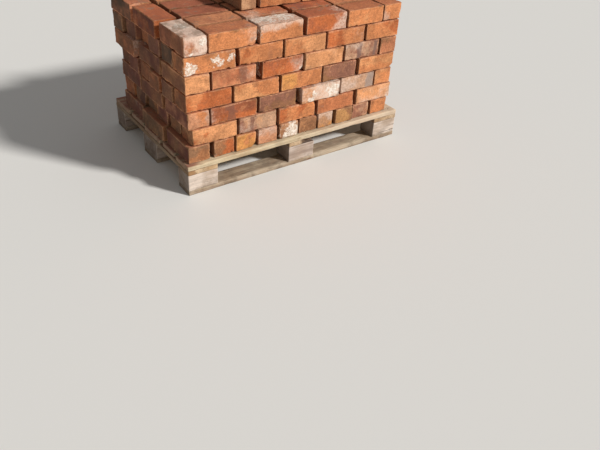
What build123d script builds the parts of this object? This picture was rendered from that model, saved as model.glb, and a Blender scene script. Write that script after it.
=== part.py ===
from build123d import *
import os
import random

# A pallet of reclaimed bricks, dry stacked in a crossed bond on a four-way block pallet.
# Millimetres. The origin is the middle of the pallet's footprint on the floor.
# +X runs along the long front face to the right, +Y from the front to the back, +Z up.

# Pallet: overall plan and sawn sections
pallet_length = 1200
pallet_width = 800
board_thickness = 22
block_height = 78
bearer_width = 145
outer_base_width = 100
deck_board_widths = (120, 115, 165, 130, 165)
deck_end_trims = (0, 5, 1, 6, 2)
saw_arris = 2
fork_lead_in = 11

# Damage at the front ends of the cross bearers: left, middle, right
split_depth = 26
split_width = 82

# Brick: size of one brick and the wear along its edges
brick_length = 220
brick_width = 105
brick_height = 79
worn_arris = 2.5
largest_twist = 0.35

# Stack: where it stands on the deck, and the joints left between the bricks
stack_from_front = 17
row_joint = 12
side_joint = 18

# Full courses, from the bottom up. Each has its bond, the distance of its left end
# from the pallet's left edge, the open joints along the front from left to right,
# and how far each front brick stands back from the front line (proud if negative).
# H is a brick that shows its end, S a brick that shows its long side.
courses = (
    ("HHHHHHHHHH", 16, (17, 5, 13, 10, 11, 3, 14, 4, 10), (3, 1, 0, 2, 0, 7, 4, 0, 5, 3)),
    ("SSSSS", 37, (9, 8, 14, 18), (0, 3, 1, 0, 2)),
    ("HSSSSH", 18, (6, 12, 22, 16, 4), (0, 2, 4, -10, 2, 3)),
    ("SSSSS", 14, (5, 13, 3, 14), (2, 0, 3, 1, 0)),
    ("HSSSSH", 14, (6, 31, 5, 11, 9), (1, 0, 5, 0, 3, 1)),
    ("SSSSS", 13, (17, 3, 6, 10), (2, 4, 0, 2, 3)),
    ("HSSSSH", 16, (5, 11, 20, 7, 3), (0, 3, 0, 4, 1, 2)),
)

# Reclaimed bricks differ. These are well off the usual size along the front, each with
# those behind it: (course, place along the front) and how long it is there.
odd_bricks = {
    (1, 7): 90,
    (2, 2): 200,
    (2, 3): 205,
    (3, 2): 228,
    (3, 3): 198,
    (3, 5): 208,
    (4, 2): 230,
    (4, 3): 225,
    (4, 4): 198,
    (5, 1): 116,
    (5, 2): 214,
    (5, 3): 216,
    (5, 5): 204,
    (5, 6): 99,
    (6, 1): 237,
    (6, 3): 224,
    (6, 5): 200,
    (7, 2): 226,
    (7, 5): 210,
    (7, 6): 108,
}
stretcher_rows = 6
end_on_rows = 3

# The left face is rougher: how far each row of a stretcher course slips to the right,
# and how far each end-on side brick does, from the front to the back.
row_slips = {2: (0, 2, -4, 3, -5, -10), 4: (0, -6, -9, 4, -3, 12), 6: (0, 6, 2, 24, 2, -12)}
side_slips = {3: (0, -4, 2), 5: (0, 2, -13), 7: (0, -12, -15)}
header_row_slips = (0, -9, 3)

# Eighth course, part used up: it starts well back from the front and the left.
# Its first bricks stand end-on on their long edges, and rows of stretchers follow.
top_front_setback = 190
top_left_end = 386
top_open_joint = 15
top_joint = 6
top_rows = 4
top_row_bricks = 3

# Corners knocked off bricks that show: course, place along the front, corner
# as (right, back, up) signs, and how much is gone along, across and up
broken_corners = (
    (1, 3, (1, -1, -1), (20, 24, 26)),
    (1, 6, (1, -1, 1), (34, 40, 14)),
    (2, 1, (-1, -1, -1), (18, 14, 12)),
    (2, 3, (1, -1, 1), (26, 14, 20)),
    (3, 3, (-1, -1, -1), (22, 12, 16)),
    (4, 5, (1, -1, -1), (20, 14, 18)),
    (5, 3, (1, -1, -1), (30, 16, 22)),
    (6, 2, (-1, -1, 1), (16, 12, 18)),
    (7, 2, (1, -1, -1), (22, 14, 26)),
    (7, 3, (1, 1, 1), (34, 30, 16)),
)

deck_underside = board_thickness * 2 + block_height
deck_top = deck_underside + board_thickness
bearer_underside = board_thickness + block_height
stack_front = stack_from_front - pallet_width / 2
row_pitch = brick_width + row_joint
side_pitch = brick_length + side_joint


def along_three(span, width):
    """Middles of three equal members: flush at both ends of a span, and one between."""
    end = (span - width) / 2
    return (-end, 0, end)


bearer_places = along_three(pallet_length, bearer_width)
base_widths = (outer_base_width, bearer_width, outer_base_width)
outer_base_place = (pallet_width - outer_base_width) / 2
base_places = (-outer_base_place, 0, outer_base_place)


def sawn_board(length, width):
    """A flat board along X, standing on Z 0, with its long edges rounded off by use."""
    board = Box(length, width, board_thickness, align=(Align.CENTER, Align.CENTER, Align.MIN))
    return chamfer(board.edges().filter_by(Axis.X), saw_arris)


def deck_boards():
    """Top boards along X, spread evenly from the front edge to the back edge."""
    gaps = len(deck_board_widths) - 1
    gap = (pallet_width - sum(deck_board_widths)) / gaps
    front = -pallet_width / 2
    pieces = {}
    for number, (width, trim) in enumerate(zip(deck_board_widths, deck_end_trims), 1):
        board = sawn_board(pallet_length - trim, width)
        pieces[f"deck_board_{number}"] = Pos(trim / 2, front + width / 2, deck_underside) * board
        front += width + gap
    return pieces


def split_end():
    """The wedge of wood that is missing where a bearer's front end has split away."""
    half = split_width / 2
    outline = Polyline(
        (-half, -split_depth),
        (half, -split_depth),
        (half, split_depth),
        (half * 0.45, split_depth * 0.7),
        (half * 0.1, split_depth * 0.95),
        (-half * 0.4, split_depth * 0.35),
        (-half, split_depth * 0.2),
        close=True,
    )
    return extrude(make_face(outline), board_thickness)


def cross_bearers():
    """Boards along Y that tie the deck to the blocks. The middle one has lost a corner in front."""
    names = ("left", "middle", "right")
    pieces = {}
    for name, place in zip(names, bearer_places):
        bearer = Rot(0, 0, 90) * sawn_board(pallet_width, bearer_width)
        if name == "middle":
            corner = Pos((bearer_width - split_width) / 2, -pallet_width / 2, 0)
            bearer = bearer - corner * split_end()
        pieces[f"cross_bearer_{name}"] = Pos(place, 0, bearer_underside) * bearer
    return pieces


def blocks():
    """Nine spacer blocks: three under each cross bearer, as wide as the base boards below them."""
    pieces = {}
    for side, place in zip(("left", "middle", "right"), bearer_places):
        for row, across, width in zip(("front", "centre", "back"), base_places, base_widths):
            block = Box(bearer_width, width, block_height, align=(Align.CENTER, Align.CENTER, Align.MIN))
            block = chamfer(block.edges().filter_by(Axis.Z), saw_arris)
            pieces[f"block_{row}_{side}"] = Pos(place, across, board_thickness) * block
    return pieces


def lead_in_cut(length):
    """A long three-sided bar that bevels one top edge of a base board."""
    corner = Polyline((0, 0), (0, -fork_lead_in), (fork_lead_in, 0), close=True)
    bar = extrude(make_face(Plane.YZ * corner), length / 2, both=True)
    return bar


def base_boards():
    """Three boards along X on the floor, bevelled between the blocks so that wheels climb over."""
    bay = bearer_places[1] - bearer_places[0] - bearer_width
    bay_places = [(a + b) / 2 for a, b in zip(bearer_places, bearer_places[1:])]
    pieces = {}
    for row, across, width in zip(("front", "centre", "back"), base_places, base_widths):
        board = sawn_board(pallet_length, width)
        for place in bay_places:
            for turn in (0, 180):
                edge = Pos(place, 0, board_thickness) * Rot(0, 0, turn) * Pos(0, -width / 2, 0)
                board = board - edge * lead_in_cut(bay)
        pieces[f"base_board_{row}"] = Pos(0, across, 0) * board
    return pieces


def worn_brick(length, width):
    """One brick lying along X on its bed, centred in plan, with all its edges worn."""
    brick = Box(length, width, brick_height, align=(Align.CENTER, Align.CENTER, Align.MIN))
    return chamfer(brick.edges(), worn_arris)


def knock_off(brick, corner, loss):
    """The brick with one corner broken away on a plane that meets its three edges."""
    size = brick.bounding_box().size
    tip = Vector(corner[0] * size.X / 2, corner[1] * size.Y / 2, max(corner[2], 0) * size.Z)
    inward = [-sign * amount for sign, amount in zip(corner, loss)]
    ends = [tip + Vector(*(inward[axis] if axis == k else 0 for k in range(3))) for axis in range(3)]
    outward = (ends[1] - ends[0]).cross(ends[2] - ends[0]).normalized()
    if outward.dot(tip - ends[0]) < 0:
        outward = outward * -1
    return split(brick, bisect_by=Plane(origin=ends[0], z_dir=outward), keep=Keep.BOTTOM)


def front_sizes(number, bond):
    """Size of each brick of a course along the front."""
    usual = {"S": brick_length, "H": brick_width}
    return [odd_bricks.get((number, place), usual[kind]) for place, kind in enumerate(bond, 1)]


def front_places(sizes, left_end, joints):
    """Left end of each brick along the front, from their sizes and their open joints."""
    places = [left_end]
    for size, joint in zip(sizes, joints):
        places.append(places[-1] + size + joint)
    return places


def laid_course(number, bond, from_edge, joints, setbacks):
    """Every brick of a course as (left end, front line, size along the front, lie, place there)."""
    left_end = from_edge - pallet_length / 2
    sizes = front_sizes(number, bond)
    starts = front_places(sizes, left_end, joints)
    laid = []
    for place, (kind, size, start) in enumerate(zip(bond, sizes, starts), 1):
        end_on = kind == "H"
        count = end_on_rows if end_on else stretcher_rows
        pitch = side_pitch if end_on else row_pitch
        for row in range(count):
            slip = 0
            if "H" not in bond:
                slip = row_slips[number][row]
            elif "S" not in bond:
                slip = header_row_slips[row]
            elif place == 1:
                slip = side_slips[number][row]
            step = setbacks[place - 1] if row == 0 else 0
            front = stack_front + row * pitch + step
            lie = "end" if end_on else "long"
            laid.append((start + slip, front, size, lie, place if row == 0 else 0))
    return laid


def laid_top_course():
    """The bricks left in the eighth course: one pair on edge, then rows of stretchers."""
    left_end = top_left_end - pallet_length / 2
    front = stack_front + top_front_setback
    first = left_end + brick_height + top_open_joint
    pair = top_rows // 2
    laid = [(left_end, front + row * side_pitch, brick_height, "edge", 0) for row in range(pair)]
    for row in range(top_rows):
        for along in range(top_row_bricks):
            start = first + along * (brick_length + top_joint)
            laid.append((start, front + row * row_pitch, brick_length, "long", 0))
    return laid


def chip_for(number, place):
    """The broken corner of one front brick, or None if it is whole."""
    for course, along, corner, loss in broken_corners:
        if (course, along) == (number, place):
            return corner, loss
    return None


def set_brick(brick, start, front, size, lie, twist, bed):
    """The brick moved to its place: long side forward, end forward, or end forward on edge."""
    if lie == "edge":
        brick = Pos(0, brick_height / 2, brick_width / 2) * Rot(90, 0, 0) * brick
    deep = brick_width if lie == "long" else brick_length
    turn = 0 if lie == "long" else 90
    return Pos(start + size / 2, front + deep / 2, bed) * Rot(0, 0, turn + twist) * brick


def cut_to_size(size, lie):
    """The whole brick for a place: its size along the front is its length, its width or its height."""
    if lie == "long":
        return worn_brick(size, brick_width)
    if lie == "end":
        return worn_brick(brick_length, size)
    return worn_brick(brick_length, brick_width)


def brick_courses():
    """One node for each course, its bricks as separate solids with open joints between them."""
    twists = random.Random(8)
    kinds = {}
    laid_courses = [laid_course(number, *course) for number, course in enumerate(courses, 1)]
    laid_courses.append(laid_top_course())
    pieces = {}
    for number, laid in enumerate(laid_courses, 1):
        bed = deck_top + (number - 1) * brick_height
        bricks = []
        for start, front, size, lie, place in laid:
            if (size, lie) not in kinds:
                kinds[(size, lie)] = cut_to_size(size, lie)
            brick = kinds[(size, lie)]
            chip = chip_for(number, place)
            if chip:
                corner, loss = chip
                if lie == "end":
                    corner = (corner[1], -corner[0], corner[2])
                brick = knock_off(brick, corner, loss)
            twist = twists.uniform(-largest_twist, largest_twist)
            bricks.append(set_brick(brick, start, front, size, lie, twist, bed))
        pieces[f"brick_course_{number}"] = Compound(bricks)
    return pieces


os.makedirs("parts", exist_ok=True)
model = {**base_boards(), **blocks(), **cross_bearers(), **deck_boards(), **brick_courses()}
for node, shape in model.items():
    export_step(shape, f"parts/{node}.step")
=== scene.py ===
import math
import random

import bmesh
import bpy
from mathutils import Euler, Matrix, Vector


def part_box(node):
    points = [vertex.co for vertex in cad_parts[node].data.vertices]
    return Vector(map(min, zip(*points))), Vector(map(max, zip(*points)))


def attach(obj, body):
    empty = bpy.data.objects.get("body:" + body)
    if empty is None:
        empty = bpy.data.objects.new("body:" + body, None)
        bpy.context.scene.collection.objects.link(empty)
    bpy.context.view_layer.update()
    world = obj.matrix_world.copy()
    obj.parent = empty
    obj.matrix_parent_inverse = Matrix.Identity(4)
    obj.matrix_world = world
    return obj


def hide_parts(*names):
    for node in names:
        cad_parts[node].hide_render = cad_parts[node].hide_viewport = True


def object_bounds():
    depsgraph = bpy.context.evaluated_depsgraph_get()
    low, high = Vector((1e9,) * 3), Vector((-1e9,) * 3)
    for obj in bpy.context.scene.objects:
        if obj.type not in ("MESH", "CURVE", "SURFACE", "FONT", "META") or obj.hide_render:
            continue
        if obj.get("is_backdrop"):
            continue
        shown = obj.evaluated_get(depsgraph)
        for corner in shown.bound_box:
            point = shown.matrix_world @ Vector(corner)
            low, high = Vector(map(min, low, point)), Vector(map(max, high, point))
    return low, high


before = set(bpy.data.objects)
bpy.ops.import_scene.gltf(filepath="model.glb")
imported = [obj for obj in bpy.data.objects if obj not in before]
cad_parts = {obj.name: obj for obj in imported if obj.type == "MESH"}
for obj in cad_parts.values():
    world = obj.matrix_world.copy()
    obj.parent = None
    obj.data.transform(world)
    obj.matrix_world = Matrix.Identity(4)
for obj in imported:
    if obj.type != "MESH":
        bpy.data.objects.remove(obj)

# A pallet of reclaimed bricks: worn clay bricks, dry stacked on a weathered four-way pallet.
# Metres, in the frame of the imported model: the front is -Y, the left side -X, the floor z = 0.

cad_low, cad_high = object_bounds()

# Wear of the bricks
soft_arris = 0.0034
arris_chips = 0.016
face_hollows = 0.0012
face_bow = 0.0026
face_dents = 0.0026
ragged_break = 0.006
grid_crowding = 0.45
brick_scatter = (7.3, 3.9, 5.1)
seen_brick_grid = ((36, 18, 14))
hidden_brick_grid = (8, 5, 4)

# How many bricks have splashes, film or bands by chance, and how much of that the front, sides and top keep
splash_chance, film_chance, band_chance = 0.08, 0.1, 0.18
kept_splash, kept_film, most_top_film = 0.3, 0.6, 0.12

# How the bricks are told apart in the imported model
merge_distance = 1e-6
on_edge_height = 0.09
row_pitch = 0.04
front_row_depth = 0.03
hidden_margin = 0.05
break_slant = 0.15
break_area = 4e-5
out_of_reach = 1.0

# Wear of the timber
timber_arris = 0.0016
timber_rub = 0.004
grain_depth = 0.0007
lead_in = 0.011
timber_scatter = (2.7, 6.1, 4.3)
grid_steps = ("Steps Along", "Steps Across", "Steps Deep")
base_grid, block_grid, bearer_grid, deck_grid = (150, 12, 6), (22, 16, 12), (90, 24, 6), (130, 12, 7)

# The split front end of the middle bearer: where it starts across, how deep it goes, its raggedness
split_start = 0.055
split_depth = 0.03
split_margin = 0.001
split_splinters = 0.0025

# Seeds of the random draws, and where the timbers' own seeds start
brick_draws, splinter_draws = 41, 5
base_seed, block_seed, bearer_seed, deck_seed = 1.3, 4.1, 15.7, 20.9

# Nails
nail_head_radius = 0.0045
nail_head_depth = 0.0008
nail_top_share = 0.6
nail_inset = 0.032

# Places on the part that have marks of their own
front_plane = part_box("brick_course_2")[0].y
top_of_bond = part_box("brick_course_7")[1].z
deck_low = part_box("deck_board_1")[0].z
bearer_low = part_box("cross_bearer_left")[0].z
top_courses = 7
side_start = 0.5
dust_edge = (-0.56, -0.52)
browned_edge = (-0.552, -0.545)
torn_edge = (cad_low.y + 0.003, cad_low.y + 0.008)
sunned_edge = (-0.1, 0.3)

# Steps: between which values a noise field mostly lies, and which faces look against an axis
noise_spread = (0.3, 0.7)
against_axis = (-0.9, -0.5, 1, 0)


def tone(red, green, blue):
    """A colour as a paint card gives it, 0 to 255, turned into light values."""
    def light(share):
        share /= 255
        return share / 12.92 if share <= 0.04045 else ((share + 0.055) / 1.055) ** 2.4
    return (light(red), light(green), light(blue), 1)


# Clay colours of the fired bricks, each with the colour that the kiln flashed on it
clays = {
    "orange": (tone(202, 128, 80), tone(214, 148, 98)), "peach": (tone(212, 146, 98), tone(220, 160, 116)),
    "deep": (tone(184, 101, 56), tone(202, 126, 76)), "red": (tone(162, 92, 60), tone(186, 112, 70)),
    "rose": (tone(194, 124, 86), tone(206, 140, 104)), "rust": (tone(184, 112, 72), tone(200, 128, 86)),
    "brown": (tone(150, 103, 70), tone(166, 104, 64)), "umber": (tone(146, 106, 76), tone(166, 110, 72)),
    "ochre": (tone(206, 142, 80), tone(206, 134, 72)), "moss": (tone(176, 128, 80), tone(150, 114, 66)),
    "tan": (tone(188, 140, 104), tone(204, 160, 122)), "pink": (tone(198, 138, 102), tone(214, 164, 130)),
    "grey": (tone(188, 146, 116), tone(166, 132, 112)), "purple": (tone(150, 100, 78), tone(166, 112, 82)),
}
# Darker clays for the left-side bricks below the top course, as painted shade
side_clays = ("rust", "purple", "umber", "purple", "brown", "umber", "red")
high_side_clays = ("deep", "rust", "rose")
common_clays = ("orange", "orange", "orange", "peach", "deep", "deep", "red", "red", "brown", "purple", "pink", "tan")

# Clay of each brick along the front, from the left, for the courses from the bottom up
front_clays = {
    1: ("umber", "brown", "ochre", "pink", "tan", "brown", "tan", "moss", "purple", "orange"),
    2: ("peach", "grey", "orange", "rust", "peach"),
    3: ("pink", "red", "purple", "peach", "grey", "orange"),
    4: ("deep", "orange", "orange", "purple", "orange"),
    5: ("peach", "rose", "deep", "peach", "purple", "rose"),
    6: ("orange", "orange", "peach", "orange", "orange"),
    7: ("rose", "orange", "orange", "deep", "orange", "orange"),
    8: ("tan", "orange", "peach", "orange"),
}

# Flashed areas on some front bricks: the colour, how much, and towards which side
flashed = {
    # The second brick of the bottom course: its brown left part, with the deep flash kept to the right, is painted
    # shade
    (1, 2): ("deep", 0.7, (0.8, 0, -0.6)), (1, 3): ("orange", 0.35, (1, 0, 0.4)), (1, 5): ("brown", 0.5, (-1, 0, 0.8)),
    (1, 7): ("ochre", 0.45, (0.4, 0, -1)), (1, 8): ("brown", 0.4, (0.8, 0, 0.6)), (1, 9): ("grey", 0.45, (0.9, 0, 0.2)),
    (2, 1): ("deep", 0.2, (-1.2, 0, -0.6)), (2, 2): ("purple", 0.42, (-1.2, 0, -0.6)),
    (2, 3): ("deep", 0.5, (-0.5, 0, 0.5)),
    (3, 1): ("orange", 0.4, (0.4, 0, 0.6)), (3, 2): ("deep", 0.55, (0.6, 0, -1)), (3, 3): ("brown", 0.45, (0.6, 0, -1)),
    (3, 5): ("grey", 0.55, (1.2, 0, 0)),
    (4, 1): ("orange", 0.35, (-1.2, 0, 0.3)), (4, 3): ("ochre", 0.42, (-1.9, 0, 0)),
    (4, 4): ("brown", 0.35, (-1.4, 0, -0.6)),
    (5, 2): ("red", 0.45, (-0.6, 0, 0.8)), (5, 3): ("red", 0.5, (0.3, 0, 0.6)), (5, 5): ("grey", 0.62, (-0.4, 0, 0.2)),
    (5, 6): ("brown", 0.45, (-1, 0, 0.4)),
    (6, 2): ("deep", 0.35, (-0.8, 0, 0.5)), (6, 3): ("orange", 0.45, (-1.5, 0, -0.4)),
    (6, 4): ("deep", 0.6, (-1.5, 0, 0)), (6, 5): ("deep", 0.45, (1, 0, 0.5)),
    (7, 1): ("pink", 0.55, (0.6, 0, 0.2)), (7, 4): ("red", 0.4, (-0.9, 0, -0.6)),
    (7, 6): ("pink", 0.45, (-0.6, 0, -0.6)),
}

# Remains of limewash on some front bricks: how much in hard splashes, how much as a thin film, and where
limed = {
    (1, 1): (0, 0, (0, 0, 1)), (1, 4): (0.06, 0.5, (0, 0, 0.9)), (1, 5): (0.1, 0.3, (0.6, 0, -0.5)),
    (1, 7): (0, 0.62, (-0.1, 0, 1)), (1, 8): (0, 0, (0, 0, 1)), (1, 9): (0.02, 0.1, (0.6, 0, -0.4)),
    (1, 10): (0, 0.02, (0, 0, 1)),
    (2, 3): (0, 0.06, (0, 0, 1)), (2, 4): (0, 0.06, (-1, 0, 0.6)), (2, 5): (0.06, 0.45, (0.6, 0, -0.9)),
    (3, 1): (0, 0.16, (0.9, 0, 0.3)), (3, 4): (0.06, 0.84, (0.9, 0, 0.1)), (3, 5): (0.02, 0.6, (-0.8, 0, 0.2)),
    (3, 6): (0.03, 0.12, (0.9, 0, -0.6)),
    (4, 1): (0, 0, (0, 0, 1)), (4, 2): (0.02, 0.1, (0.8, 0, 0.5)), (4, 5): (0.03, 0.12, (0.6, 0, 0.3)),
    (5, 1): (0, 0.05, (1, 0, 0.5)), (5, 2): (0, 0.08, (1, 0, 0.5)), (5, 3): (0, 0.16, (2.2, 0, -0.9)),
    (5, 5): (0.04, 0.34, (-0.7, 0, 0.4)),
    (6, 1): (0.06, 0.14, (0.1, 0, 0.2)), (6, 5): (0, 0.04, (0, 0, 1)),
    (7, 1): (0.08, 0.92, (0.5, 0, 0.3)), (7, 2): (0.02, 0.1, (1.5, 0, 0)), (7, 3): (0.03, 0.72, (-0.2, 0.9, 1.6)),
    (7, 4): (0.02, 0.14, (2.8, -0.2, -0.2)), (7, 6): (0.06, 0.3, (-0.5, 0, -0.3)),
}

# Splashes of limewash in known places on some front bricks: where, as shares of the brick's
# half sizes from its middle (right, back, up), and how far the splash reaches
splashed = {
    (1, 5): ((0.42, -1, -0.3, 0.052), (-0.3, -1, -0.8, 0.032)),
    (3, 4): ((-0.35, -1, 0.1, 0.014), (0.66, -1, 0.15, 0.036), (-0.5, -1, -0.8, 0.018)),
    (5, 3): ((0.9, -1, -0.6, 0.012), (-1, 0.2, 0, 0.036)),
    (6, 1): ((-0.74, -1, -0.4, 0.027), (0.28, -1, 0.05, 0.018), (0.84, -1, 0.25, 0.019)),
    (7, 1): ((0.8, -1, 0.3, 0.018), (-0.5, -1, -0.85, 0.01), (0.1, 0.3, 1, 0.034)),
    (7, 2): ((0.99, -1, 0.4, 0.006), (0.99, -1, -0.3, 0.006)),
    (7, 3): ((-1, -0.3, 0.1, 0.026), (-0.45, 0.45, 1, 0.044), (0.4, 0.35, 1, 0.04)),
    (7, 4): ((0.96, -1, 0.4, 0.01),),
}

# Dark bands that the kiln left across some front bricks: place along the length, width, strength
banded = {
    (1, 9): (-0.2, 0.3, 0.4), (2, 2): (-0.3, 0.12, 0.7), (3, 2): (-0.1, 0.22, 0.6), (3, 3): (0.3, 0.5, 0.25),
    (3, 5): (0.72, 0.24, 0.8), (4, 4): (0.3, 0.4, 0.3), (5, 2): (0.42, 0.16, 0.6), (5, 5): (-0.12, 0.13, 0.85),
    (6, 2): (0.45, 0.12, 0.2),
}
band_tones = {(3, 5): tone(152, 134, 124), (5, 5): tone(120, 90, 80)}
usual_band_tone = tone(118, 80, 66)
second_band = 0.85

most_splashes = 3
no_splash = (0, -1, 0, 0.0001)

# Timber colours: fresh, bleached and soiled
deck_tones = (tone(194, 167, 130), tone(214, 195, 162), tone(120, 100, 82))
bearer_tones = (tone(194, 154, 108), tone(210, 182, 146), tone(112, 88, 64))
block_tones = (tone(196, 172, 150), tone(220, 203, 188), tone(128, 110, 94))
base_tones = (tone(168, 142, 110), tone(190, 172, 146), tone(92, 76, 60))
aged_tone = tone(148, 126, 116)

# How grey and dark single timbers have gone, from 0 to 1
aged = {"block_front_left": 0.05, "block_front_middle": 0.55, "block_front_right": 0.12,
        "cross_bearer_middle": 0.25, "cross_bearer_right": 0.3, "cross_bearer_left": 0.1, "deck_board_1": 0.06}
usual_age = 0.35


def join(tree, value, socket):
    """Links an output to a socket, or sets the socket to a plain value."""
    if isinstance(value, bpy.types.NodeSocket):
        tree.links.new(value, socket)
    else:
        socket.default_value = value


def put(tree, kind, inputs=(), out=0, **settings):
    """A new node with its settings and inputs made, given as one of its outputs."""
    node = tree.nodes.new(kind)
    for name, value in settings.items():
        setattr(node, name, value)
    for key, value in dict(inputs).items():
        join(tree, value, node.inputs[key])
    return node.outputs[out]


def reckon(tree, operation, *values):
    """One step of arithmetic on plain values."""
    return put(tree, "ShaderNodeMath", dict(enumerate(values)), operation=operation)


def product(tree, first, *others):
    for value in others:
        first = reckon(tree, "MULTIPLY", first, value)
    return first


def total(tree, first, *others):
    for value in others:
        first = reckon(tree, "ADD", first, value)
    return first


def less(tree, first, second):
    return reckon(tree, "SUBTRACT", first, second)


def mixture(tree, *parts):
    """The sum of some fields, each times its weight."""
    return total(tree, *(product(tree, field, weight) for field, weight in parts))


def reckon3(tree, operation, *values):
    """The same for vectors."""
    out = 1 if operation in ("DOT_PRODUCT", "LENGTH") else 0
    return put(tree, "ShaderNodeVectorMath", dict(enumerate(values)), out, operation=operation)


def less3(tree, first, second):
    return reckon3(tree, "SUBTRACT", first, second)


def scaled(tree, vector, factor):
    return put(tree, "ShaderNodeVectorMath", {0: vector, "Scale": factor}, operation="SCALE")


def step(tree, value, low, high, to_low=0, to_high=1):
    """A soft step from one value to another as the input goes from low to high."""
    inputs = {"Value": value, "From Min": low, "From Max": high, "To Min": to_low, "To Max": to_high}
    return put(tree, "ShaderNodeMapRange", inputs, interpolation_type="SMOOTHSTEP")


def swing(tree, field, least, most):
    """A noise field brought to go from one value to another."""
    return step(tree, field, *noise_spread, least, most)


def cloud(tree, place, scale, detail=2, roughness=0.5, distortion=0):
    inputs = {"Vector": place, "Scale": scale, "Detail": detail, "Roughness": roughness, "Distortion": distortion}
    return put(tree, "ShaderNodeTexNoise", inputs)


def drawn_out(tree, spot, squeeze, *noise):
    """A noise field that is drawn out along the axes whose squeeze is under 1."""
    return cloud(tree, reckon3(tree, "MULTIPLY", spot, squeeze), *noise)


def own_spot(tree, place, scatter, seed):
    """A place moved away by the piece's seed, so that each piece meets noise of its own."""
    return reckon3(tree, "ADD", place, scaled(tree, scatter, seed))


def blended(tree, share, first, second):
    return put(tree, "ShaderNodeMix", {0: share, 6: first, 7: second}, 2, data_type="RGBA")


def stained(tree, colour, *stains):
    """A colour under one stain after another, each given as its mask and its own colour."""
    for mask, stain in stains:
        colour = blended(tree, mask, colour, stain)
    return colour


def varied(tree, colour, *parts):
    """A colour made darker and lighter by noise fields, each with its least and its greatest factor."""
    for field, least, most in parts:
        colour = scaled(tree, colour, swing(tree, field, least, most))
    return colour


def parts_of(tree, vector):
    return put(tree, "ShaderNodeSeparateXYZ", {0: vector}).node.outputs


def new_group(name, kind, inputs, output):
    """A node group with one output and with named inputs, each with its kind and perhaps a usual value."""
    group = bpy.data.node_groups.new(name, kind)
    for label, socket_kind, *usual in inputs:
        socket = group.interface.new_socket(label, in_out="INPUT", socket_type="NodeSocket" + socket_kind)
        if usual:
            socket.default_value = usual[0]
    label, socket_kind = output
    group.interface.new_socket(label, in_out="OUTPUT", socket_type="NodeSocket" + socket_kind)
    return group, group.nodes.new("NodeGroupInput").outputs, group.nodes.new("NodeGroupOutput").inputs[label]


def crowded_box(tree, size, grid):
    """A box of quads whose rows crowd towards its edges, and its half size."""
    inputs = {"Size": size, "Vertices X": grid[0], "Vertices Y": grid[1], "Vertices Z": grid[2]}
    box = put(tree, "GeometryNodeMeshCube", inputs)
    half = scaled(tree, size, 0.5)
    share = reckon3(tree, "DIVIDE", put(tree, "GeometryNodeInputPosition"), half)
    swung = reckon3(tree, "SINE", scaled(tree, share, math.pi / 2))
    crowded = reckon3(tree, "ADD", scaled(tree, share, 1 - grid_crowding), scaled(tree, swung, grid_crowding))
    moved = put(tree, "GeometryNodeSetPosition",
                {"Geometry": box, "Position": reckon3(tree, "MULTIPLY", crowded, half)})
    return moved, half


def kept(tree, geometry, name, value, kind="FLOAT_VECTOR"):
    """Stores a value on the points of a mesh under a name."""
    return put(tree, "GeometryNodeStoreNamedAttribute", {"Geometry": geometry, "Name": name, "Value": value},
               data_type=kind, domain="POINT")


def recalled(tree, name, kind="FLOAT_VECTOR"):
    return put(tree, "GeometryNodeInputNamedAttribute", {"Name": name}, data_type=kind)


def turned_by(tree, angles):
    return put(tree, "FunctionNodeEulerToRotation", {0: angles})


def rounded_off(tree, place, half, radius):
    """The place on a box whose edges are rounded by a radius, and the way out of the surface there."""
    radii = put(tree, "ShaderNodeCombineXYZ", {0: radius, 1: radius, 2: radius})
    inner = less3(tree, half, radii)
    core = reckon3(tree, "MAXIMUM", reckon3(tree, "MINIMUM", place, inner), scaled(tree, inner, -1))
    outward = reckon3(tree, "NORMALIZE", less3(tree, place, core))
    return reckon3(tree, "ADD", core, scaled(tree, outward, radius)), outward


def completed(tree, mesh, material, result):
    """Makes a mesh smooth, gives it its material and hands it out of the tree."""
    mesh = put(tree, "GeometryNodeSetShadeSmooth", {"Geometry": mesh})
    join(tree, put(tree, "GeometryNodeSetMaterial", {"Geometry": mesh, "Material": material}), result)
    return tree


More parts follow.
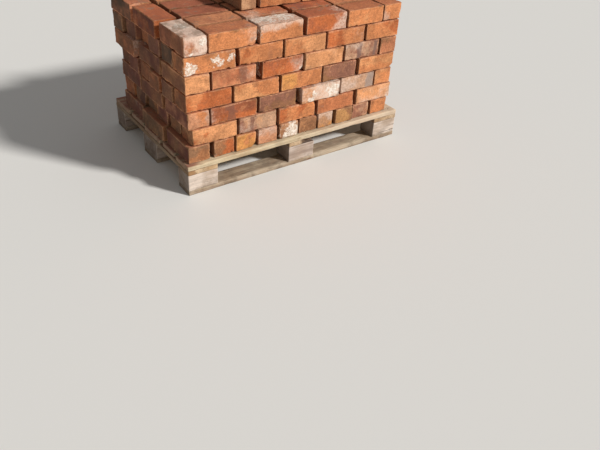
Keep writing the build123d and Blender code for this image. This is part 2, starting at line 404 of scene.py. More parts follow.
def brick_laying():
    """Lays a worn brick on every point of a course. Each brick gets chips and hollows of its own."""
    tree, given, result = new_group("brick_laying", "GeometryNodeTree", (
        ("Places", "Geometry"),
        ("Brick Size", "Vector"),
        ("Arris", "Float", soft_arris),
        ("Chips", "Float", arris_chips),
        ("Hollows", "Float", face_hollows),
        ("Bow", "Float", face_bow),
        ("Dents", "Float", face_dents),
        ("Finish", "Material"),
    ), ("Bricks", "Geometry"))
    turn = recalled(tree, "brick_turn")
    seen = recalled(tree, "brick_seen", "BOOLEAN")
    hidden = put(tree, "FunctionNodeBooleanMath", {0: seen}, operation="NOT")
    laid = []
    for grid, chosen in ((seen_brick_grid, seen), (hidden_brick_grid, hidden)):
        shape, half = crowded_box(tree, given["Brick Size"], grid)
        shape = kept(tree, shape, "brick_place", put(tree, "GeometryNodeInputPosition"))
        laid.append(put(tree, "GeometryNodeInstanceOnPoints", {
            "Points": given["Places"], "Selection": chosen, "Instance": shape, "Rotation": turned_by(tree, turn)}))
    both = tree.nodes.new("GeometryNodeJoinGeometry")
    for geometry in laid:
        tree.links.new(geometry, both.inputs[0])
    bricks = put(tree, "GeometryNodeRealizeInstances", {0: both.outputs[0]})

    place = recalled(tree, "brick_place")
    span = recalled(tree, "brick_span")
    spot = own_spot(tree, place, brick_scatter, recalled(tree, "brick_seed", "FLOAT"))
    wander = step(tree, cloud(tree, spot, 26), 0.34, 0.66, 0.6, 2.1)
    chip = step(tree, cloud(tree, spot, 34, 3, 0.6), 0.58, 0.72)
    radius = mixture(tree, (given["Arris"], wander), (given["Chips"], chip))
    surface, outward = rounded_off(
        tree, reckon3(tree, "MULTIPLY", place, span), reckon3(tree, "MULTIPLY", half, span), radius)
    bow = step(tree, cloud(tree, spot, 5, 1), 0.32, 0.66)
    hollow = swing(tree, cloud(tree, spot, 13, 3), 0, 1)
    dent = step(tree, cloud(tree, spot, 48), 0.62, 0.76)
    worn_away = mixture(tree, (given["Hollows"], hollow), (given["Dents"], dent), (given["Bow"], bow))
    surface = less3(tree, surface, scaled(tree, outward, worn_away))

    away = recalled(tree, "brick_break")
    beyond = less(tree, reckon3(tree, "DOT_PRODUCT", surface, away), recalled(tree, "brick_reach", "FLOAT"))
    ragged = product(tree, cloud(tree, spot, 70, 3), ragged_break)
    beyond = reckon(tree, "MAXIMUM", total(tree, beyond, ragged), 0)
    surface = less3(tree, surface, scaled(tree, away, beyond))

    moved = {"Vector": less3(tree, surface, place), "Rotation": turn}
    shift = put(tree, "ShaderNodeVectorRotate", moved, rotation_type="EULER_XYZ")
    bricks = put(tree, "GeometryNodeSetPosition", {"Geometry": bricks, "Offset": shift})
    return completed(tree, bricks, given["Finish"], result)


def timber_sawing():
    """Saws one timber to size. It lies along X, and its edges are rubbed and its grain raised."""
    tree, given, result = new_group("timber_sawing", "GeometryNodeTree", (
        ("Size", "Vector"),
        ("Middle", "Vector"),
        ("Turn", "Float"),
        ("Arris", "Float", timber_arris),
        ("Rub", "Float", timber_rub),
        ("Grain Depth", "Float", grain_depth),
        ("Lead In", "Float"),
        ("Bay Start", "Float"),
        ("Bay End", "Float"),
        ("Seed", "Float"),
        ("Age", "Float", usual_age),
        *((label, "Int", count) for label, count in zip(grid_steps, deck_grid)),
        ("Finish", "Material"),
    ), ("Timber", "Geometry"))
    timber, half = crowded_box(tree, given["Size"], [given[label] for label in grid_steps])
    timber = kept(tree, timber, "timber_place", put(tree, "GeometryNodeInputPosition"))
    timber = kept(tree, timber, "timber_seed", given["Seed"], "FLOAT")
    timber = kept(tree, timber, "timber_age", given["Age"], "FLOAT")
    timber = kept(tree, timber, "timber_half", half)
    place = recalled(tree, "timber_place")
    spot = own_spot(tree, place, timber_scatter, given["Seed"])
    rub = step(tree, drawn_out(tree, spot, (0.45, 1, 1), 24, 3), 0.5, 0.74)
    surface, outward = rounded_off(tree, place, half, total(tree, given["Arris"], product(tree, given["Rub"], rub)))
    grain = swing(tree, drawn_out(tree, spot, (0.12, 1, 1), 70, 3, 0.6), 0, 1)
    depth = product(tree, grain, given["Grain Depth"])
    surface = less3(tree, surface, scaled(tree, outward, depth))

    # The upper edges of a base board are bevelled between the blocks, for the wheels of a fork
    along, across, high = parts_of(tree, surface)
    from_middle = reckon(tree, "ABSOLUTE", along)
    in_bay = product(tree, reckon(tree, "GREATER_THAN", from_middle, given["Bay Start"]),
                     reckon(tree, "LESS_THAN", from_middle, given["Bay End"]))
    half_across, half_high = parts_of(tree, half)[1:]
    proud = total(tree, less(tree, reckon(tree, "ABSOLUTE", across), half_across),
                  less(tree, high, half_high), given["Lead In"])
    cut = product(tree, reckon(tree, "MAXIMUM", proud, 0), in_bay, 0.5)
    bevel = put(tree, "ShaderNodeCombineXYZ", {1: product(tree, cut, reckon(tree, "SIGN", across)), 2: cut})
    surface = less3(tree, surface, bevel)

    timber = put(tree, "GeometryNodeSetPosition", {"Geometry": timber, "Position": surface})
    turn = turned_by(tree, put(tree, "ShaderNodeCombineXYZ", {2: given["Turn"]}))
    timber = put(tree, "GeometryNodeTransform", {"Geometry": timber, "Translation": given["Middle"], "Rotation": turn})
    return completed(tree, timber, given["Finish"], result)


def nailing():
    """Sets a slightly domed nail head on every point, facing along the point's own way out."""
    tree, given, result = new_group("nailing", "GeometryNodeTree", (
        ("Places", "Geometry"),
        ("Head Radius", "Float", nail_head_radius),
        ("Sides", "Int", 10),
        ("Finish", "Material"),
    ), ("Nails", "Geometry"))
    radius = given["Head Radius"]
    head = put(tree, "GeometryNodeMeshCone", {
        "Vertices": given["Sides"], "Radius Top": product(tree, radius, nail_top_share),
        "Radius Bottom": radius, "Depth": nail_head_depth})
    facing = put(tree, "FunctionNodeAlignRotationToVector", {"Vector": recalled(tree, "nail_way")}, axis="Z")
    nails = put(tree, "GeometryNodeInstanceOnPoints",
                {"Points": given["Places"], "Instance": head, "Rotation": facing})
    nails = put(tree, "GeometryNodeRealizeInstances", {0: nails})
    join(tree, put(tree, "GeometryNodeSetMaterial", {"Geometry": nails, "Material": given["Finish"]}), result)
    return tree


def brought_in(name, data):
    """A new object in the scene."""
    obj = bpy.data.objects.new(name, data)
    bpy.context.scene.collection.objects.link(obj)
    return obj


def made_by(tree, name, values, start=None):
    """Runs a node tree on a mesh of points and gives the result as one plain mesh object."""
    obj = brought_in(name, start or bpy.data.meshes.new(name + "_blank"))
    maker = obj.modifiers.new("making", "NODES")
    maker.node_group = tree
    sockets = {s.name: s.identifier for s in tree.interface.items_tree if s.in_out == "INPUT"}
    for label, value in values.items():
        maker[sockets[label]] = value
    bpy.context.view_layer.update()
    graph = bpy.context.evaluated_depsgraph_get()
    obj.data = bpy.data.meshes.new_from_object(
        obj.evaluated_get(graph), preserve_all_data_layers=True, depsgraph=graph)
    obj.modifiers.remove(maker)
    obj.data.name = name
    return obj


def shells(node):
    """The separate solids of a node, each as its points and its faces' normals with their areas."""
    whole = bmesh.new()
    whole.from_mesh(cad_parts[node].data)
    bmesh.ops.remove_doubles(whole, verts=whole.verts, dist=merge_distance)
    whole.verts.index_update()
    whole.faces.index_update()
    found, taken = [], set()
    for first in whole.verts:
        if first.index in taken:
            continue
        taken.add(first.index)
        waiting, points, faces = [first], [], {}
        while waiting:
            vert = waiting.pop()
            points.append(vert.co.copy())
            for face in vert.link_faces:
                faces[face.index] = (face.normal.copy(), face.calc_area())
                for near in face.verts:
                    if near.index not in taken:
                        taken.add(near.index)
                        waiting.append(near)
        found.append((points, list(faces.values())))
    whole.free()
    return found


def lie_of_brick(points, faces):
    """Where a brick lies: its middle, its turn, its size along its own axes and its broken corner."""
    side = max((area, tuple(normal)) for normal, area in faces if abs(normal.z) < 0.5)[1]
    long_way = Vector((-side[1], side[0], 0)).normalized()
    if max(long_way.x, long_way.y, key=abs) < 0:
        long_way = -long_way
    tall = max(p.z for p in points) - min(p.z for p in points)
    turn = Euler((math.pi / 2 if tall > on_edge_height else 0, 0, math.atan2(long_way.y, long_way.x)))
    axes = turn.to_matrix()
    reach = [[p.dot(axes.col[k]) for p in points] for k in range(3)]
    low, high = Vector(map(min, reach)), Vector(map(max, reach))
    centre = axes @ ((low + high) / 2)
    broken, distance = Vector((0, 0, 1)), out_of_reach
    for normal, area in faces:
        own = axes.transposed() @ normal
        if area > break_area and min(abs(c) for c in own) > break_slant:
            broken = own
            distance = max((axes.transposed() @ (p - centre)).dot(own) for p in points)
    return {"centre": centre, "turn": turn, "size": high - low, "broken": broken, "reach": distance}


def dressed_bricks(number, chance):
    """The bricks of one course with their clay, marks and wear."""
    node = f"brick_course_{number}"
    bricks = [lie_of_brick(*shell) for shell in shells(node)]
    low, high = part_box(node)
    for brick in bricks:
        across, deep = (abs(length) for length in (brick["turn"].to_matrix() @ brick["size"]).xy)
        brick["left"] = brick["centre"].x - across / 2
        brick["front"] = brick["centre"].y - deep / 2
        edges = (brick["left"] - low.x, high.x - brick["left"] - across,
                 brick["front"] - low.y, high.y - brick["front"] - deep)
        brick["seen"] = number >= top_courses or min(edges) < hidden_margin
    bricks.sort(key=lambda b: (round(b["front"] / row_pitch), b["left"]))
    for brick in bricks:
        brick.update(
            clay=clays[chance.choice(common_clays)],
            flash=chance.uniform(0.15, 0.6),
            splash=chance.uniform(*((0.3, 0.42) if chance.random() < splash_chance else (0, 0.12))),
            film=chance.uniform(*((0.3, 0.5) if chance.random() < film_chance else (0, 0.2))),
            band=(chance.uniform(-0.8, 0.4), chance.uniform(0.12, 0.3),
                  chance.uniform(0.4, 0.8) if chance.random() < band_chance else 0),
            flash_way=(chance.uniform(-1, 1), chance.uniform(-1, 1), chance.uniform(-0.6, 0.6)),
            lime_way=(chance.uniform(-1, 1), chance.uniform(-1, 1), chance.uniform(-0.4, 0.8)),
            seed=chance.uniform(0, 9), splashes=(), band_tone=usual_band_tone)
        # Left-side bricks take darker clays below the top course, as painted shade, and fewer splashes
        if brick["left"] - low.x < hidden_margin:
            brick["clay"] = clays[chance.choice(side_clays if number < top_courses else high_side_clays)]
            brick["splash"] *= kept_splash
        if number >= top_courses:
            brick["splash"], brick["film"] = brick["splash"] * kept_splash, min(brick["film"], most_top_film)
    front_row = sorted((b for b in bricks if b["front"] < low.y + front_row_depth), key=lambda b: b["left"])
    for place, brick in enumerate(front_row, 1):
        here = (number, place)
        brick["clay"] = clays[front_clays[number][place - 1]]
        brick["splash"], brick["film"] = brick["splash"] * kept_splash, brick["film"] * kept_film
        brick["band"] = banded.get(here, (0, 0.1, 0))
        brick["band_tone"] = band_tones.get(here, usual_band_tone)
        if here in flashed:
            clay, brick["flash"], brick["flash_way"] = flashed[here]
            brick["clay"] = (brick["clay"][0], clays[clay][0])
        if here in limed:
            brick["splash"], brick["film"], brick["lime_way"] = limed[here]
        brick["splashes"] = splashed.get(here, ())
    return bricks


def set_values(mesh, name, kind, values):
    """Writes one value for each point of a mesh under a name."""
    store = mesh.attributes.new(name, kind, "POINT")
    field = {"FLOAT_VECTOR": "vector", "FLOAT_COLOR": "color"}.get(kind, "value")
    flat = [values] if field == "value" else values
    store.data.foreach_set(field, [number for value in flat for number in value])


def course_points(name, bricks):
    """A mesh with one point at the middle of each brick, carrying what the brick is to look like."""
    mesh = bpy.data.meshes.new(name)
    mesh.from_pydata([b["centre"] for b in bricks], [], [])
    looks = []
    for brick in bricks:
        own_axes = brick["turn"].to_matrix().transposed()
        look = {
            "brick_turn": brick["turn"], "brick_seen": brick["seen"],
            "brick_span": [own / usual for own, usual in zip(brick["size"], brick_size)],
            "brick_seed": brick["seed"], "brick_break": brick["broken"], "brick_reach": brick["reach"],
            "clay_body": brick["clay"][0], "clay_flash": brick["clay"][1],
            "brick_marks": (brick["flash"], brick["splash"], brick["film"]),
            "brick_band": brick["band"], "band_tone": brick["band_tone"],
            "flash_way": own_axes @ Vector(brick["flash_way"]), "lime_way": own_axes @ Vector(brick["lime_way"])}
        for count in range(most_splashes):
            *spot, reach = brick["splashes"][count] if count < len(brick["splashes"]) else no_splash
            look[f"splash_{count}"] = own_axes @ Vector(spot)
            look[f"splash_reach_{count}"] = reach
        looks.append(look)
    for label, value in looks[0].items():
        if isinstance(value, bool):
            kind = "BOOLEAN"
        elif isinstance(value, float):
            kind = "FLOAT"
        else:
            kind = "FLOAT_COLOR" if len(value) == 4 else "FLOAT_VECTOR"
        set_values(mesh, label, kind, [look[label] for look in looks])
    return mesh


def arris_mask_group():
    """How near a point of a box is to its nearest edge, as a mask that wanders."""
    tree, given, result = new_group("near_an_arris", "ShaderNodeTree", (
        ("Place", "Vector"),
        ("Half Size", "Vector"),
        ("Width", "Float", 0.005),
        ("Wander", "Float", 0.5),
    ), ("Mask", "Float"))
    gap = less3(tree, given["Half Size"], reckon3(tree, "ABSOLUTE", given["Place"]))
    x, y, z = parts_of(tree, gap)
    second = reckon(tree, "MAXIMUM", reckon(tree, "MINIMUM", x, y),
                    reckon(tree, "MINIMUM", reckon(tree, "MAXIMUM", x, y), z))
    reach = reckon(tree, "MAXIMUM", product(tree, given["Width"], given["Wander"], 2), 0.0002)
    join(tree, step(tree, reckon(tree, "DIVIDE", second, reach), 0.3, 1, 1, 0), result)
    return tree


def patches_group():
    """Patches of a film or stain: more of them as the amount goes up, gathered towards one side."""
    tree, given, result = new_group("patches", "ShaderNodeTree", (
        ("Spot", "Vector"),
        ("Lean", "Float"),
        ("Amount", "Float", 0.5),
        ("Scale", "Float", 20),
        ("Detail", "Float", 5),
        ("Softness", "Float", 0.05),
    ), ("Mask", "Float"))
    ground = cloud(tree, given["Spot"], given["Scale"], given["Detail"], 0.62)
    level = total(tree, ground, product(tree, given["Lean"], 0.16))
    edge = less(tree, 0.82, product(tree, given["Amount"], 0.5))
    low = less(tree, edge, given["Softness"])
    mask = step(tree, level, low, total(tree, edge, given["Softness"]))
    join(tree, product(tree, mask, step(tree, given["Amount"], 0.02, 0.08)), result)
    return tree


arris_mask = arris_mask_group()
patches = patches_group()


def near_arris(tree, place, half, width, wander):
    inputs = {"Place": place, "Half Size": half, "Width": width, "Wander": wander}
    return put(tree, "ShaderNodeGroup", inputs, node_tree=arris_mask)


def patch(tree, spot, amount, scale, detail, softness, lean=0):
    inputs = {"Spot": spot, "Amount": amount, "Scale": scale, "Detail": detail, "Softness": softness, "Lean": lean}
    return put(tree, "ShaderNodeGroup", inputs, node_tree=patches)


def finish(name):
    """A new material with its shader, ready for its nodes."""
    material = bpy.data.materials.new(name)
    material.use_nodes = True
    tree = material.node_tree
    tree.nodes.clear()
    shader = tree.nodes.new("ShaderNodeBsdfPrincipled")
    output = tree.nodes.new("ShaderNodeOutputMaterial")
    tree.links.new(shader.outputs[0], output.inputs["Surface"])
    return material, tree, shader.inputs


def coat(tree, shader, colour, roughness, gloss, relief):
    """Gives a shader its colour, roughness and gloss, and its relief as height, strength and depth."""
    join(tree, colour, shader["Base Color"])
    join(tree, roughness, shader["Roughness"])
    shader["Specular IOR Level"].default_value = gloss
    height, strength, depth = relief
    bump = put(tree, "ShaderNodeBump", {"Strength": strength, "Distance": depth, "Height": height})
    join(tree, bump, shader["Normal"])


def stored(tree, name, out=1):
    """A value that the geometry tree left on the mesh: 0 a colour, 1 a vector, 2 a plain value."""
    return put(tree, "ShaderNodeAttribute", out=out, attribute_name=name)


def lean_of(tree, share, name):
    """How far a point lies to the side that a mark of its brick leans to."""
    return reckon3(tree, "DOT_PRODUCT", share, stored(tree, name))


def fired_clay(half):
    """Fired clay with kiln flash and bands, grit, worn arrises, soil and remains of limewash, and painted shade in the
    joints and on the left side.
    """
    material, tree, shader = finish("fired_clay")
    place = stored(tree, "brick_place")
    seed = stored(tree, "brick_seed", 2)
    spot = own_spot(tree, place, brick_scatter, seed)
    share = reckon3(tree, "DIVIDE", place, half)
    flash_amount, lime_amount, film_amount = parts_of(tree, stored(tree, "brick_marks"))

    broad = cloud(tree, spot, 15, 3, 0.55)
    smoky = cloud(tree, spot, 7, 4, 0.6, 0.6)
    mottled = cloud(tree, spot, 24, 5, 0.66, 0.8)
    fine = cloud(tree, spot, 110, 4, 0.65)
    grit = cloud(tree, spot, 420, 2, 0.6)
    drag = drawn_out(tree, spot, (0.1, 0.5, 1), 150, 3, 0.6)

    # The kiln's flash and bands
    flash = patch(tree, spot, flash_amount, 14, 3, 0.1, lean_of(tree, share, "flash_way"))
    colour = blended(tree, flash, stored(tree, "clay_body", 0), stored(tree, "clay_flash", 0))
    colour = scaled(tree, colour, step(tree, smoky, 0.34, 0.62, 0.78, 1.1))
    colour = varied(tree, colour, (broad, 0.9, 1.08), (fine, 0.83, 1.15), (grit, 0.88, 1.1), (drag, 0.9, 1.07))
    at, width, strength = parts_of(tree, stored(tree, "brick_band"))
    along = total(tree, parts_of(tree, share)[0], swing(tree, cloud(tree, spot, 30, 3), -0.09, 0.09))
    from_first = less(tree, along, at)
    from_second = reckon(tree, "ABSOLUTE", less(tree, from_first, second_band))
    from_second = total(tree, from_second, step(tree, strength, 0.8, 0.84, 9, 0))
    from_band = reckon(tree, "MINIMUM", reckon(tree, "ABSOLUTE", from_first), from_second)
    from_band = reckon(tree, "DIVIDE", from_band, width)
    bands = product(tree, step(tree, from_band, 0.75, 1.15, 1, 0), strength)

    # Grit, and arrises rubbed pale
    specks = step(tree, cloud(tree, spot, 230, 1), 0.64, 0.7, 0, 0.5)
    pebbles = put(tree, "ShaderNodeTexVoronoi", {"Vector": spot, "Scale": 95})
    pale_grit = product(tree, step(tree, pebbles, 0.1, 0.16, 0.5, 0), step(tree, cloud(tree, spot, 22), 0.5, 0.62))
    worn = near_arris(tree, place, half, 0.008, broad)
    rubbed = product(tree, worn, step(tree, fine, 0.36, 0.62, 0.08, 0.62))

    # Painted shade, with some soil, on faces inside the joints and behind the front row; painted shade on the left
    # side, spared on the worn arrises, with darker greenish patches
    object_place = put(tree, "ShaderNodeTexCoord", out=3)
    x, y, z = parts_of(tree, object_place)
    facing_x, facing_y, upward = parts_of(tree, put(tree, "ShaderNodeNewGeometry", out=1))
    # Faces inside the joints and behind the front row get painted shade, with some soil
    within = step(tree, reckon(tree, "ABSOLUTE", x), side_start, side_start + 0.01, 0.6, 0)
    hidden_front = product(
        tree, step(tree, facing_y, *against_axis), step(tree, y, front_plane + 0.02, front_plane + 0.03),
        step(tree, z, top_of_bond - 0.004, top_of_bond, 1, 0))
    in_joint = reckon(tree, "MAXIMUM", step(tree, reckon(tree, "ABSOLUTE", facing_x), 0.6, 0.9), hidden_front)
    # Painted shade on faces turned to the left, red or brown brick by brick, with darker greenish patches; the worn
    # arrises are spared
    left_side = product(tree, step(tree, facing_x, *against_axis),
                        step(tree, x, -side_start - 0.01, -side_start, 1, 0))
    left_shade_mask = product(tree, left_side, step(tree, worn, 0.1, 0.7, 1, 0.05))
    own_shade, own_hue = (reckon(tree, "FRACT", product(tree, seed, factor)) for factor in (3.7, 5.3))
    shaded = product(tree, left_shade_mask, step(tree, broad, 0.36, 0.64, 1, 0.52),
                     step(tree, own_shade, 0.1, 0.9, 0.62, 0.96))
    shade_tone = blended(tree, step(tree, own_hue, 0.35, 0.65), tone(100, 56, 48), tone(84, 64, 52))
    left_shade_patches = product(tree, left_shade_mask, patch(tree, object_place, 0.56, 10, 6, 0.09), 0.3)

    # Limewash as a thin film, and in splashes
    lime_lean = lean_of(tree, share, "lime_way")
    cover = total(tree, step(tree, fine, 0.32, 0.62, 0.25, 0.7), step(tree, film_amount, 0.55, 1, 0, 0.4))
    film = product(tree, patch(tree, spot, film_amount, 12, 5, 0.12, lime_lean),
                   reckon(tree, "MINIMUM", cover, 0.92), step(tree, left_side, 0, 1, 1, 0))
    lime = patch(tree, spot, lime_amount, 34, 7, 0.03, lime_lean)
    ragged = swing(tree, cloud(tree, spot, 56, 7, 0.72), -0.75, 0.75)
    strayed = less3(tree, cloud(tree, spot, 42, 3).node.outputs["Color"], (0.5, 0.5, 0.5))
    strayed = scaled(tree, strayed, 0.055)
    for count in range(most_splashes):
        off = less3(tree, share, stored(tree, f"splash_{count}"))
        off = reckon3(tree, "ADD", reckon3(tree, "MULTIPLY", off, half), strayed)
        off = reckon(tree, "DIVIDE", reckon3(tree, "LENGTH", off), stored(tree, f"splash_reach_{count}", 2))
        lime = reckon(tree, "MAXIMUM", lime, step(tree, total(tree, off, ragged), 0.7, 1.15, 1, 0))
    lime = product(tree, lime, step(tree, cloud(tree, spot, 150, 3, 0.6), 0.34, 0.5, 0.3, 1))
    lime_tone = blended(tree, step(tree, fine, 0.35, 0.6), tone(206, 184, 162), tone(242, 234, 222))

    # Grime and soil near the edges, and weather, damp and moss on the tops
    edges = near_arris(tree, place, half, 0.013, mottled)
    grime = product(tree, edges, patch(tree, object_place, 0.46, 11, 6, 0.06), 0.55)
    joint = product(tree, near_arris(tree, place, half, 0.0042, fine),
                    step(tree, broad, 0.34, 0.62, 0.72, 0.12))
    lying = step(tree, upward, 0.6, 0.95)
    bare = product(tree, lying, step(tree, reckon(tree, "MAXIMUM", film, lime), 0.1, 0.7, 1, 0.12))
    damp = product(tree, bare, patch(tree, object_place, 0.46, 9, 6, 0.1), 0.38)
    moss = patch(tree, object_place, step(tree, film_amount, 0.7, 1, 0.4, 0.62), 22, 7, 0.05)

    colour = stained(
        tree, colour,
        (step(tree, mottled, 0.54, 0.72, 0, 0.42), tone(132, 84, 56)),
        (step(tree, mottled, 0.28, 0.46, 0.36, 0), tone(226, 160, 108)),
        (bands, stored(tree, "band_tone", 0)),
        (specks, tone(96, 58, 42)),
        (pale_grit, tone(220, 186, 152)),
        (rubbed, tone(226, 170, 130)),
        # painted shade with some soil in the joints
        (product(tree, in_joint, within), tone(112, 70, 48)),
        # painted shade on the left side, and its darker greenish patches
        (shaded, shade_tone),
        (left_shade_patches, tone(88, 74, 50)),
        (film, tone(222, 196, 178)),
        (product(tree, lime, 0.9), lime_tone),
        (grime, tone(124, 90, 54)),
        (product(tree, patch(tree, spot, 0.4, 24, 6, 0.07), 0.3), tone(112, 80, 60)),
        (joint, tone(84, 54, 38)),
        (product(tree, bare, swing(tree, fine, 0.68, 0.24)), tone(175, 103, 79)),
        (damp, tone(108, 66, 52)),
        (product(tree, moss, lying, 0.6), tone(140, 116, 98)))
    roughness = less(tree, swing(tree, fine, 0.95, 0.84), product(tree, lime, 0.1))
    pits = step(tree, cloud(tree, spot, 130), 0.6, 0.74, 0, -1)
    height = mixture(tree, (fine, 1.1), (grit, 0.45), (drag, 0.5), (pits, 1), (mottled, -1.6), (lime, 0.35))
    coat(tree, shader, colour, roughness, 0.3, (height, 0.75, 0.0016))
    return material


def weathered_timber(name, tones, soil_line):
    """Sawn softwood left outside: growth rings, knots, checks, a bleached face and soil near the ground, with painted
    shade under the deck, in the split end and on faces turned to the left.
    """
    fresh, bleached, soiled = tones
    material, tree, shader = finish(name)
    place = stored(tree, "timber_place")
    spot = own_spot(tree, place, timber_scatter, stored(tree, "timber_seed", 2))

    bend = scaled(tree, cloud(tree, spot, 5).node.outputs["Color"], 0.05)
    heart = reckon3(tree, "ADD", reckon3(tree, "MULTIPLY", place, (0.02, 1, 1)), bend)
    heart = reckon3(tree, "ADD", heart, (0, 0.035, 0.06))
    ring_inputs = {"Vector": heart, "Scale": 62, "Distortion": 1.2, "Detail": 2, "Detail Scale": 2}
    rings = put(tree, "ShaderNodeTexWave", ring_inputs, 1, wave_type="RINGS", rings_direction="X",
                wave_profile="SAW")
    fibre = drawn_out(tree, spot, (0.05, 1, 1), 260, 4, 0.65)
    streak = drawn_out(tree, spot, (0.1, 1, 1), 34, 4, 0.6)
    broad = cloud(tree, spot, 7, 3, 0.55)
    faded = step(tree, mixture(tree, (broad, 0.6), (streak, 0.4)), 0.38, 0.6)
    age = product(tree, stored(tree, "timber_age", 2), swing(tree, streak, 1.2, 0.6))
    colour = stained(tree, fresh, (faded, bleached), (age, aged_tone))
    colour = scaled(tree, colour, step(tree, rings, 0, 1, 1.04, 0.86))
    colour = varied(tree, colour, (fibre, 0.86, 1.08), (streak, 0.88, 1.07))

    knot_place = reckon3(tree, "MULTIPLY", spot, (1, 2.6, 2.6))
    knots = put(tree, "ShaderNodeTexVoronoi", {"Vector": knot_place, "Scale": 5.5})
    knot = step(tree, total(tree, knots, product(tree, streak, 0.04)), 0.09, 0.15, 0.85, 0)
    check = step(tree, drawn_out(tree, spot, (0.035, 1, 1), 130), 0.67, 0.72)
    worn = near_arris(tree, place, stored(tree, "timber_half"), 0.003, streak)

    # Soil low down, a sunned deck with brick dust, a brown bearer end, dirt with painted shade where the bearer is
    # covered or torn, and painted shade on faces turned to the left
    x, y, z = parts_of(tree, put(tree, "ShaderNodeTexCoord", out=3))
    facing_x, facing_y, facing_z = parts_of(tree, put(tree, "ShaderNodeNewGeometry", out=1))
    soil = product(tree, patch(tree, spot, 0.55, 16, 6, 0.1), step(tree, z, 0, soil_line, 0.7, 0.25))
    on_top = step(tree, facing_z, 0.5, 0.9)
    on_front = step(tree, facing_y, -0.9, -0.4, 1, 0)
    on_deck = step(tree, z, deck_low - 0.001, deck_low)
    on_bearer = less(tree, step(tree, z, bearer_low - 0.002, bearer_low), on_deck)
    dusty = product(tree, on_top, on_deck, step(tree, x, *dust_edge, 0.95, 0),
                    step(tree, streak, 0.35, 0.65, 1, 0.55))
    browned = product(tree, on_front, on_bearer,
                      step(tree, total(tree, x, product(tree, broad, 0.03)), *browned_edge, 0.7, 0))
    torn = product(tree, on_front, step(tree, y, *torn_edge))
    dirt_and_painted_shade = product(tree, reckon(tree, "MAXIMUM", on_top, torn), on_bearer, 0.85)

    colour = stained(
        tree, colour,
        (knot, tone(124, 84, 54)),
        (product(tree, check, 0.75), tone(82, 66, 52)),
        (product(tree, worn, 0.45), bleached),
        (soil, soiled),
        (product(tree, on_deck, step(tree, x, *sunned_edge, 0, 0.45)), tone(224, 200, 178)),
        (dusty, tone(148, 98, 80)),
        (browned, tone(146, 104, 64)),
        # dirt and painted shade on the bearer's tops under the deck and in its split end
        (dirt_and_painted_shade, tone(70, 48, 38)),
        # painted shade on faces turned to the left; browner on the deck board ends, with brick dust
        (product(tree, step(tree, facing_x, *against_axis), 0.6),
         blended(tree, on_deck, tone(92, 76, 66), tone(134, 92, 74))))
    height = mixture(tree, (fibre, 0.9), (rings, -0.35), (check, -1.6), (streak, 0.4))
    coat(tree, shader, colour, swing(tree, fibre, 0.92, 0.78), 0.3, (height, 0.7, 0.0012))
    return material


def rusty_steel():
    """Nail heads gone brown, with a little bare steel left."""
    material, tree, shader = finish("rusty_steel")
    place = put(tree, "ShaderNodeTexCoord", out=3)
    rust = patch(tree, place, 0.5, 420, 4, 0.06)
    grain = cloud(tree, place, 900, 3)
    colour = varied(tree, blended(tree, rust, tone(96, 58, 38), tone(138, 78, 44)), (grain, 0.8, 1.15))
    coat(tree, shader, colour, step(tree, rust, 0, 1, 0.55, 0.9), 0.5, (grain, 0.5, 0.0004))
    join(tree, step(tree, rust, 0, 1, 0.7, 0), shader["Metallic"])
    return material


def stand_in_place(piece, slot, *nodes):
    """Lets a finished piece ride on the body and stand for its nodes. Its slot is not used."""
    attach(piece, "root")
    if nodes:
        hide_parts(*nodes)


# Camera and light
eye_place = Vector((-1.60616, -2.52433, 1.53299))
eye_yaw, eye_pitch, eye_roll = 0.6544, 0.6219, 0.0699
eye_lens = 37.639
film_width = 36
floor_reach = 40
key_towards = Vector((0.5, -0.7, 0.56))
key_strength, key_spread, key_colour = 3.6, math.radians(7), (1, 0.985, 0.96)
surround_light, backdrop_light = 0.25, 0.92


def photographers_camera():
    """The camera at the photograph's place, looking down on the front left corner."""
    ahead = Vector((math.sin(eye_yaw) * math.cos(eye_pitch), math.cos(eye_yaw) * math.cos(eye_pitch),
                    -math.sin(eye_pitch)))
    level = Vector((math.cos(eye_yaw), -math.sin(eye_yaw), 0))
    above = level.cross(ahead)
    side = math.cos(eye_roll) * level + math.sin(eye_roll) * above
    top = -math.sin(eye_roll) * level + math.cos(eye_roll) * above
    data = bpy.data.cameras.new("eye")
    data.lens = eye_lens
    data.sensor_width = film_width
    camera = brought_in("eye", data)
    turn = Matrix((side, top, -ahead)).transposed()
    camera.matrix_world = Matrix.Translation(eye_place) @ turn.to_4x4()
    bpy.context.scene.camera = camera


def studio():
    """A pale floor, a soft key light from the front right, and an even pale surround."""
    floor = bpy.data.meshes.new("studio_floor")
    corners = [(x * floor_reach, y * floor_reach, 0) for x, y in ((-1, -1), (1, -1), (1, 1), (-1, 1))]
    floor.from_pydata(corners, [], [(0, 1, 2, 3)])
    material, tree, shader = finish("studio_paper")
    shader["Base Color"].default_value = tone(228, 226, 222)
    shader["Roughness"].default_value = 0.95
    floor.materials.append(material)
    brought_in("studio_floor", floor)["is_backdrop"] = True

    lamp = bpy.data.lights.new("key", "SUN")
    lamp.energy, lamp.angle, lamp.color = key_strength, key_spread, key_colour
    brought_in("key", lamp).matrix_world = key_towards.to_track_quat("Z", "Y").to_matrix().to_4x4()

    world = bpy.data.worlds.new("surround")
    bpy.context.scene.world = world
    world.use_nodes = True
    tree = world.node_tree
    tree.nodes.clear()
    strength = step(tree, put(tree, "ShaderNodeLightPath"), 0, 1, surround_light, backdrop_light)
    backdrop = put(tree, "ShaderNodeBackground", {"Color": (1, 1, 1, 1), "Strength": strength})
    output = tree.nodes.new("ShaderNodeOutputWorld")
    tree.links.new(backdrop, output.inputs["Surface"])
    bpy.context.scene.view_settings.view_transform = "Standard"


photographers_camera()
studio()

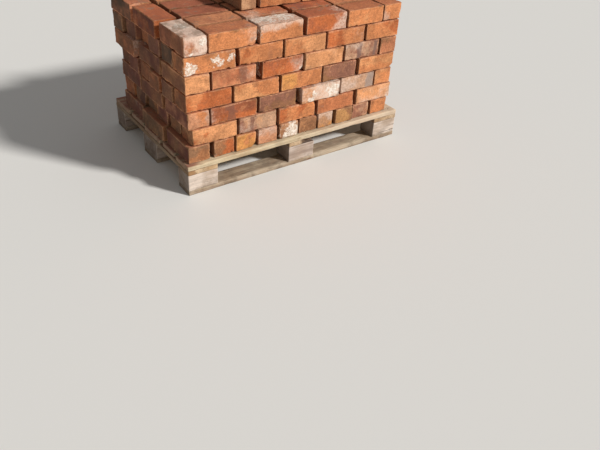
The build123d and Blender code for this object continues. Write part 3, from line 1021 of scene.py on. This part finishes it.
# Bricks
laying = brick_laying()
chance = random.Random(brick_draws)
courses = [dressed_bricks(number, chance) for number in front_clays]
# The usual brick has the middle size of the second course, which is all stretchers
brick_size = Vector(sorted(b["size"][k] for b in courses[1])[len(courses[1]) // 2] for k in range(3))
clay = fired_clay(tuple(brick_size / 2))
for number, bricks in zip(front_clays, courses):
    node = f"brick_course_{number}"
    course = made_by(laying, f"worn_course_{number}", {"Brick Size": brick_size, "Finish": clay},
                     course_points(node + "_points", bricks))
    stand_in_place(course, "fired_brick", node)

# Timber
rows = ("front", "centre", "back")
sides = ("left", "middle", "right")
base_boards = [f"base_board_{row}" for row in rows]
deck_boards = [f"deck_board_{number}" for number in range(1, 6)]
sawing = timber_sawing()
deck_finish = weathered_timber("deck_timber", deck_tones, 0.02)
bearer_finish = weathered_timber("bearer_timber", bearer_tones, 0.02)
block_finish = weathered_timber("block_timber", block_tones, 0.09)
base_finish = weathered_timber("base_timber", base_tones, 0.03)
fork_bay = {"Lead In": lead_in, "Bay Start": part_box("block_front_middle")[1].x,
            "Bay End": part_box("block_front_right")[0].x}


def timber(node, slot, material, seed, grid, **extra):
    """One timber of the pallet, as long, wide and thick as its node, in the place of its node."""
    low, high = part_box(node)
    length, width, thickness = high - low
    crosswise = length < width
    piece = made_by(sawing, "weathered_" + node, {
        "Size": (width, length, thickness) if crosswise else (length, width, thickness),
        "Middle": (low + high) / 2, "Turn": math.pi / 2 if crosswise else 0.0, "Seed": seed,
        "Age": aged.get(node, usual_age), "Finish": material, **dict(zip(grid_steps, grid)), **extra})
    if node == "cross_bearer_middle":
        split_front_end(piece, node)
    stand_in_place(piece, slot, node)


def split_front_end(piece, node):
    """The middle bearer's front end has split away on the right, leaving a ragged edge."""
    low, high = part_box(node)
    ends = {(round(v.co.x, 5), round(v.co.y, 5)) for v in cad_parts[node].data.vertices
            if v.co.x > low.x + split_start and low.y + split_margin < v.co.y < low.y + split_depth}
    line = list(dict(sorted(ends)).items())
    chance = random.Random(splinter_draws)
    for vert in piece.data.vertices:
        x, y = vert.co.x, vert.co.y
        if y > low.y + 2 * split_depth or x < line[0][0]:
            continue
        for (x0, y0), (x1, y1) in zip(line, line[1:] + [(high.x + 0.01, line[-1][1])]):
            if x0 <= x <= x1:
                edge = y0 + (y1 - y0) * (x - x0) / max(x1 - x0, merge_distance)
                vert.co.y = max(y, edge + chance.uniform(-split_splinters, 0))
                break


for count, row in enumerate(rows):
    timber(base_boards[count], "base_board_wood", base_finish, base_seed + count, base_grid, **fork_bay)
    for second, side in enumerate(sides):
        timber(f"block_{row}_{side}", "block_wood", block_finish, block_seed + 3 * count + second, block_grid)
for count, side in enumerate(sides):
    timber(f"cross_bearer_{side}", "bearer_wood", bearer_finish, bearer_seed + count, bearer_grid)
for number, node in enumerate(deck_boards, 1):
    timber(node, "deck_wood", deck_finish, deck_seed + number, deck_grid)

# Nails: through the deck boards into the bearers, and through the base boards into the blocks
nail_points, nail_ways = [], []
for node in deck_boards + base_boards:
    low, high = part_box(node)
    face, way = (high.z, 1) if node in deck_boards else (low.z, -1)
    for side in sides:
        left, right = (corner.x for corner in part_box(f"cross_bearer_{side}"))
        for x, y in (
            (left + nail_inset, low.y + nail_inset),
            (right - nail_inset, low.y + nail_inset * 0.9),
            ((left + right) / 2, (low.y + high.y) / 2),
            (left + nail_inset * 1.1, high.y - nail_inset),
            (right - nail_inset * 0.9, high.y - nail_inset),
        ):
            nail_points.append((x, y, face - way * nail_head_depth))
            nail_ways.append((0, 0, way))
nail_mesh = bpy.data.meshes.new("nail_places")
nail_mesh.from_pydata(nail_points, [], [])
set_values(nail_mesh, "nail_way", "FLOAT_VECTOR", nail_ways)
nails = made_by(nailing(), "nail_heads", {"Finish": rusty_steel()}, nail_mesh)
stand_in_place(nails, "deck_wood")

low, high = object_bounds()
